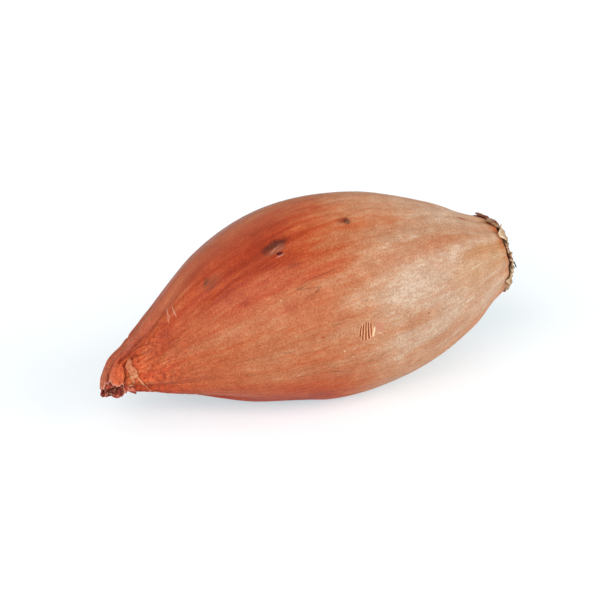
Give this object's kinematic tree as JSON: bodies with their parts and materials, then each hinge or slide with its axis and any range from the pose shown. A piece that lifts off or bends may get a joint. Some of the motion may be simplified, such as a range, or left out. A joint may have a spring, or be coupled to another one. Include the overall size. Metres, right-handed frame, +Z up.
{
  "type": "pink shallot",
  "caption": "Long pink shallot lying on its side: pointed, pleated, hooked dry neck at one end, ragged papery collar round a corky root plate at the other",
  "frame": {"origin": "on the surface it lies on, under the middle of the whole length and width", "axes": "+X along the bulb from the neck to the root end, +Z up from the surface, +Y across"},
  "size_m": [0.0932, 0.042, 0.0424],
  "materials": {
    "outer_skin": "satin",
    "dry_leaf": "matte",
    "torn_skin": "matte",
    "paper_scale": "matte",
    "root_plate": "matte"
  },
  "bodies": {
    "root": {"bulb": "outer_skin", "neck_tuft": "dry_leaf", "torn_skin": "torn_skin", "root_collar": "paper_scale", "root_plate": "root_plate"}
  },
  "joints": []
}
